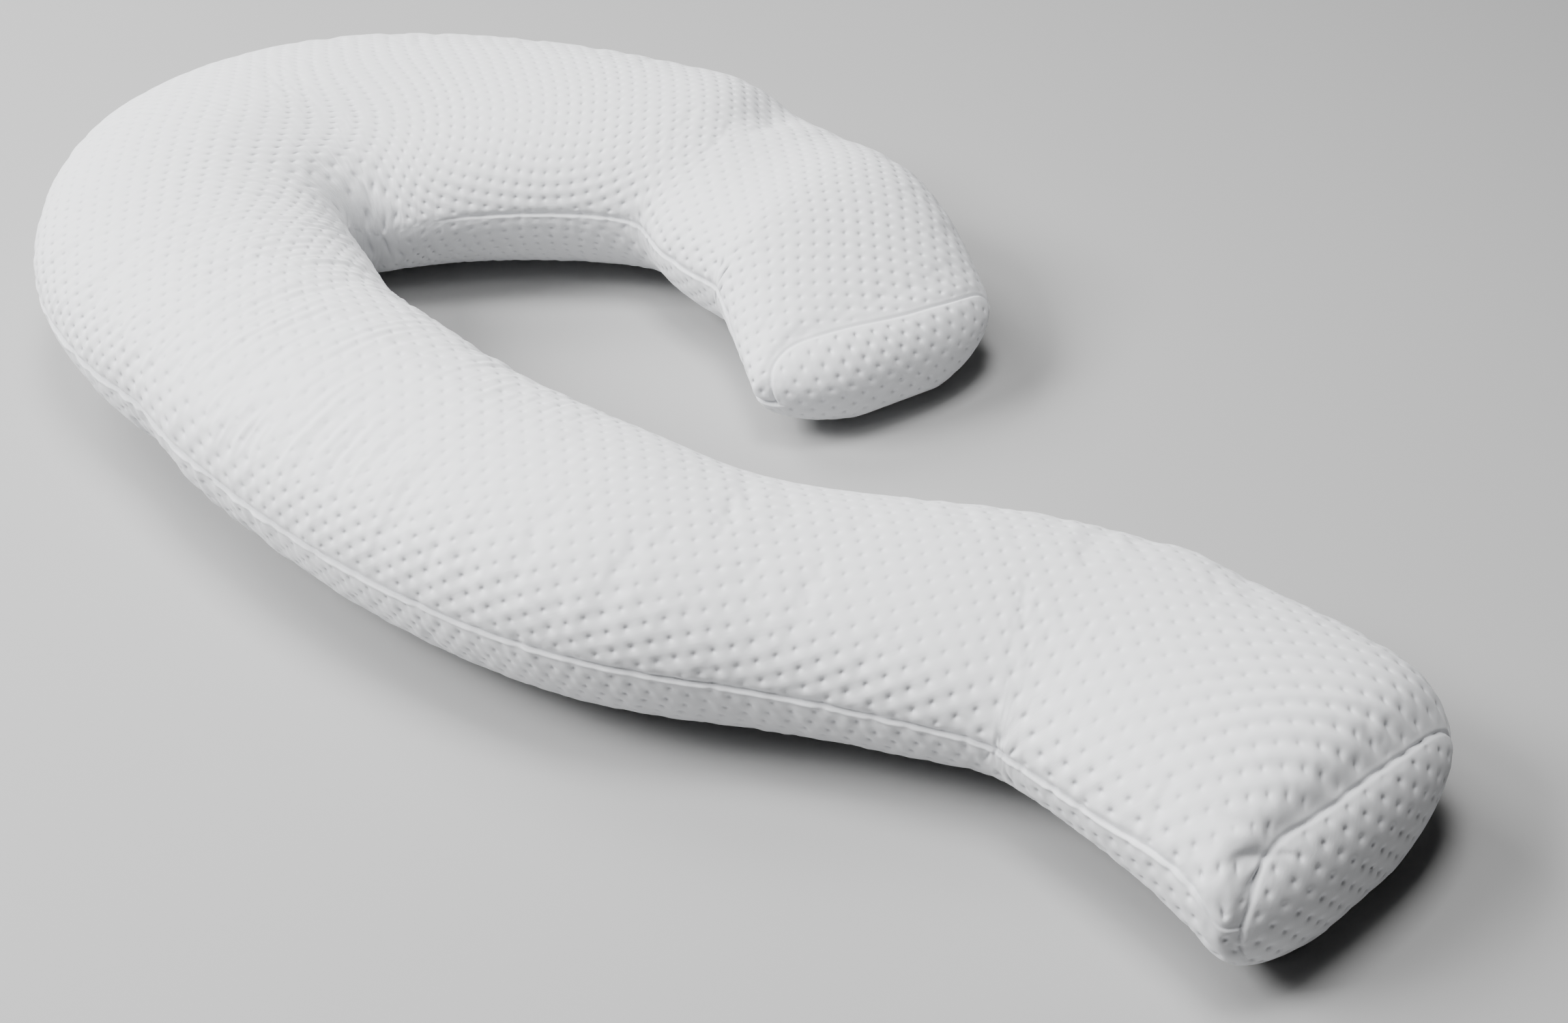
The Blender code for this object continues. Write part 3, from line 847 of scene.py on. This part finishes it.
def knit_rows(flat):
    """The knit's row coordinates, in pitches, on the two long panels.

    A square lattice turned on the flat cut, drawn closer along the hook, its
    rows sloping off over the tail and turned round beside the hook's bend.
    """
    a = math.radians(LATTICE_TURN)
    panel = np.round(flat[..., :1] / BASE_ASIDE - 0.2) * np.array([BASE_ASIDE, 0.0])
    spot = flat - panel
    u = (spot[..., 0] * math.cos(a) + spot[..., 1] * math.sin(a)) / PITCH
    v = (-spot[..., 0] * math.sin(a) + spot[..., 1] * math.cos(a)) / PITCH
    for along, across, most, reach in SWIRLS:
        p, q = u - along, v - across
        turn = math.radians(most) * np.exp(-(p ** 2 + q ** 2) / reach ** 2)
        u = along + p * np.cos(turn) - q * np.sin(turn)
        v = across + p * np.sin(turn) + q * np.cos(turn)
    middle, wide, slope = ROW_SLOPE
    erf = np.tanh(1.2 * (u - middle) / wide) * 0.886 * wide
    lean = slope * erf - END_CURL * np.log1p(np.exp((u - CURL_FROM) / 2.0)) * 2.0
    v = v - lean * ease(-v, -2.0, 12.0)
    on, over, growth = ROWS_CLOSER
    u, v = on * u, over * v + growth * v ** 2
    u = u + ROW_WANDER * value_noise(u * 0.23 + 9, v * 0.23, 4)
    v = v + ROW_WANDER * value_noise(u * 0.23, v * 0.23 + 5, 5)
    return u, v


def seam_line(angle, ways):
    """How far past the last section an end seam runs, at angles round it."""
    turned = np.where(angle > 285.0, angle - 360.0, angle)
    at = np.clip((turned + SEAM_TURN) / SEAM_TURN, 0.0, len(ways) - 1.0)
    value, _, _ = spline(np.array(ways), at.ravel())
    return value.reshape(angle.shape)


def end_folds(kind, deeper, angle, rim):
    """Folds that run out from an end seam's corner, and the corner's tuft.

    Each fold is a soft ridge or trough along a ray from the corner: a bell
    across the ray, rising and fading along it.
    """
    step = np.linalg.norm(np.diff(np.vstack([rim, rim[:1]]), axis=0), axis=1)
    around = np.concatenate([[0.0], np.cumsum(step)])[:-1]
    order = np.argsort(angle[0])
    lift, folded = np.zeros_like(deeper), np.zeros_like(deeper)
    for end, at_angle, off, bearing, length, wide, high in PUCKERS:
        if end != kind:
            continue
        here = np.interp(at_angle, angle[0][order], around[order])
        away = (around - here + around[-1] / 2) % around[-1] - around[-1] / 2
        x = -(deeper - off)
        y = np.broadcast_to(away[None, :], deeper.shape)
        c, s = math.cos(math.radians(bearing)), math.sin(math.radians(bearing))
        run, across = x * c + y * s, -x * s + y * c
        body = bell(run, length * 0.45, length * 0.45)
        spread = wide * (0.6 + 0.6 * np.clip(run / length, 0.0, 1.2))
        fold = body * bell(across, spread)
        lift += high * fold
        if wide < FOLD_NARROW:
            folded = np.maximum(folded, fold)
    return lift, folded


def corner_rows(laid, low_side, on_end, tops):
    """Each face corner's knit rows, taken from its own panel's lattice.

    The bottom panel has its own rows along both side seams; an end's faces
    take the end's rows at all four corners.
    """
    def four(field, first, closing):
        low = np.concatenate([first, field[:, tops:], closing], axis=1)
        left = np.concatenate([field[:, :tops - 1], low[:, :-1]], axis=1)
        right = np.concatenate([field[:, 1:tops], low[:, 1:]], axis=1)
        return np.stack([left[:-1], right[:-1], right[1:], left[1:]], axis=2)

    first = np.stack([part[:, :1] for part in low_side], axis=2)
    closing = np.stack([part[:, 1:] for part in low_side], axis=2)
    quads = four(laid[0], first, closing)
    for number in (1, 2):
        own = four(laid[number], laid[number][:, tops - 1:tops], laid[number][:, :1])
        here = on_end == number
        here = (here[:-1] & here[1:]) | (here[:-1] & np.roll(here[1:], -1, axis=1))
        quads = np.where(here[..., None, None], own, quads)
    flat = quads.reshape(-1, 4, 2)
    fans = []
    for number, row in ((1, 0), (2, -1)):
        ring = laid[number][row]
        after = np.roll(ring, -1, axis=0)
        pole = np.broadcast_to(ring.mean(axis=0), ring.shape)
        pair = (after, ring, ring) if number == 1 else (ring, after, after)
        fans.append(np.stack((pole,) + pair, axis=1))
    return np.concatenate([flat] + fans)


# ---- materials
def knit_material():
    """White dimpled knit: fine stitches on the flat cut, soft and matt, with shade painted into
    its dimples and seams.
    """
    material = bpy.data.materials.new("white_knit")
    material.use_nodes = True
    tree = material.node_tree
    tree.nodes.clear()
    add = tree.nodes.new
    link = tree.links.new
    out = add("ShaderNodeOutputMaterial")
    shader = add("ShaderNodeBsdfPrincipled")
    link(shader.outputs["BSDF"], out.inputs["Surface"])
    shader.inputs["Roughness"].default_value = 0.92
    shader.inputs["Specular IOR Level"].default_value = 0.18
    shader.inputs["Sheen Weight"].default_value = 0.22
    shader.inputs["Sheen Roughness"].default_value = 0.55

    place_on = add("ShaderNodeTexCoord")
    parts = add("ShaderNodeSeparateXYZ")
    link(place_on.outputs["UV"], parts.inputs["Vector"])

    def sums(kind, first, second=0.0):
        """One math node's output."""
        node = add("ShaderNodeMath")
        node.operation = kind
        for socket, value in zip(node.inputs, (first, second)):
            if isinstance(value, float):
                socket.default_value = value
            else:
                link(value, socket)
        return node.outputs[0]

    def wave(socket, times):
        """The cosine of a row coordinate, `times` to a pitch."""
        return sums("COSINE", sums("MULTIPLY", socket, 2 * math.pi * times))

    def read(name):
        """A float attribute of the piece."""
        node = add("ShaderNodeAttribute")
        node.attribute_name = name
        return node.outputs["Fac"]

    def noise(coords, scale, detail):
        """A noise texture's value."""
        node = add("ShaderNodeTexNoise")
        node.inputs["Scale"].default_value = scale
        node.inputs["Detail"].default_value = detail
        link(coords, node.inputs["Vector"])
        return node.outputs["Fac"]

    along, across = parts.outputs["X"], parts.outputs["Y"]
    both = sums("MULTIPLY", sums("ADD", wave(along, 1.0), 1.0),
                sums("ADD", wave(across, 1.0), 1.0))
    dot = sums("POWER", sums("MULTIPLY", both, 0.25), PIT_SHARP)
    dot = sums("MULTIPLY", dot, read("pit"))

    stretched = add("ShaderNodeMapping")
    stretched.inputs["Scale"].default_value = CREASE_SCALE
    link(place_on.outputs["UV"], stretched.inputs["Vector"])
    creases = noise(stretched.outputs["Vector"], 1.0, 2.0)
    stitches = sums("MULTIPLY", wave(along, PITCH / STITCH_WIDE),
                    wave(across, PITCH / STITCH_TALL))
    fuzz = noise(place_on.outputs["Object"], FUZZ_SCALE, 3.0)
    fine = sums("ADD", sums("MULTIPLY", stitches, 0.4), fuzz)
    height = sums("ADD", sums("MULTIPLY", dot, -PIT_POINT), sums("MULTIPLY", creases, CREASES))
    height = sums("ADD", height, sums("MULTIPLY", fine, STITCH_HIGH))
    relief = add("ShaderNodeBump")
    relief.inputs["Strength"].default_value = 1.0
    relief.inputs["Distance"].default_value = 1.0
    link(height, relief.inputs["Height"])
    link(relief.outputs["Normal"], shader.inputs["Normal"])

    # painted shade: dimple bottoms and seam grooves are mixed towards the darker white; the
    # random mottling adds the cloth's own tone
    painted_shade_and_tone = sums("MULTIPLY", dot, PAINTED_PIT_SHADE)
    painted_shade_and_tone = sums("MAXIMUM", painted_shade_and_tone, sums("MULTIPLY", read("seam"), PAINTED_SEAM_SHADE))
    tone = noise(place_on.outputs["Object"], TONE_SCALE, 2.0)
    painted_shade_and_tone = sums("ADD", painted_shade_and_tone, sums("MULTIPLY", tone, TONE_SHADE))
    mix = add("ShaderNodeMix")
    mix.data_type = "RGBA"
    mix.inputs["A"].default_value = WHITE
    mix.inputs["B"].default_value = WHITE_SHADE_AND_MOTTLE
    link(painted_shade_and_tone, mix.inputs["Factor"])
    link(mix.outputs["Result"], shader.inputs["Base Color"])
    return material


# ---- stage, light and camera
def stage_floor():
    """A wide pale floor under the pillow."""
    corners = [(-1.0, -1.0, 0.0), (1.0, -1.0, 0.0), (1.0, 1.0, 0.0), (-1.0, 1.0, 0.0)]
    points = FLOOR_HALF * np.array(corners)
    points[:, 2] = FLOOR_UNDER
    floor = set_mesh("floor", points, np.array([[0, 1, 2, 3]]))
    material = bpy.data.materials.new("pale_floor")
    material.use_nodes = True
    shader = material.node_tree.nodes["Principled BSDF"]
    shader.inputs["Base Color"].default_value = FLOOR_COLOUR
    shader.inputs["Roughness"].default_value = 0.9
    shader.inputs["Specular IOR Level"].default_value = 0.1
    floor.data.materials.append(material)


def soft_light(name, place_at, aim, wide, tall, power):
    """A soft rectangular light at `place_at` facing `aim`."""
    lamp = bpy.data.lights.new(name, "AREA")
    lamp.shape = "RECTANGLE"
    lamp.size, lamp.size_y, lamp.energy = wide, tall, power
    thing = bpy.data.objects.new(name, lamp)
    thing.location = place_at
    way = Vector(aim) - Vector(place_at)
    thing.rotation_euler = way.to_track_quat("-Z", "Y").to_euler()
    bpy.context.scene.collection.objects.link(thing)


def stage_light():
    """Soft lights, and a pale backdrop that shows but sheds no light."""
    world = bpy.data.worlds.new("studio")
    world.use_nodes = True
    back = world.node_tree.nodes["Background"]
    back.inputs["Color"].default_value = BACKDROP_COLOUR
    path = world.node_tree.nodes.new("ShaderNodeLightPath")
    world.node_tree.links.new(path.outputs["Is Camera Ray"], back.inputs["Strength"])
    bpy.context.scene.world = world
    for row in LIGHTS:
        soft_light(*row)


def view_camera():
    """The camera, from its place, pitch, roll, bearing and lens."""
    data = bpy.data.cameras.new("view")
    data.sensor_fit = "HORIZONTAL"
    data.sensor_width = 36.0
    data.lens = CAMERA_LENS
    data.clip_start = 0.05
    data.dof.use_dof = False
    p, b = math.radians(CAMERA_PITCH), math.radians(CAMERA_BEARING)
    ahead = Vector((math.cos(b) * math.cos(p), math.sin(b) * math.cos(p), -math.sin(p)))
    right = ahead.cross(Vector((0.0, 0.0, 1.0))).normalized()
    up = right.cross(ahead)
    roll = math.radians(CAMERA_ROLL)
    right, up = (right * math.cos(roll) + up * math.sin(roll),
                 up * math.cos(roll) - right * math.sin(roll))
    turn = Matrix((right, up, -ahead)).transposed().to_4x4()
    camera = bpy.data.objects.new("view", data)
    camera.matrix_world = Matrix.Translation(CAMERA_PLACE) @ turn
    bpy.context.scene.collection.objects.link(camera)
    bpy.context.scene.camera = camera


# ---- main
case = case_piece()
case.data.materials.append(knit_material())
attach(case, "root")
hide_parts("pillow_body", "end_panel_foot", "end_panel_head")

stage_floor()
stage_light()
view_camera()
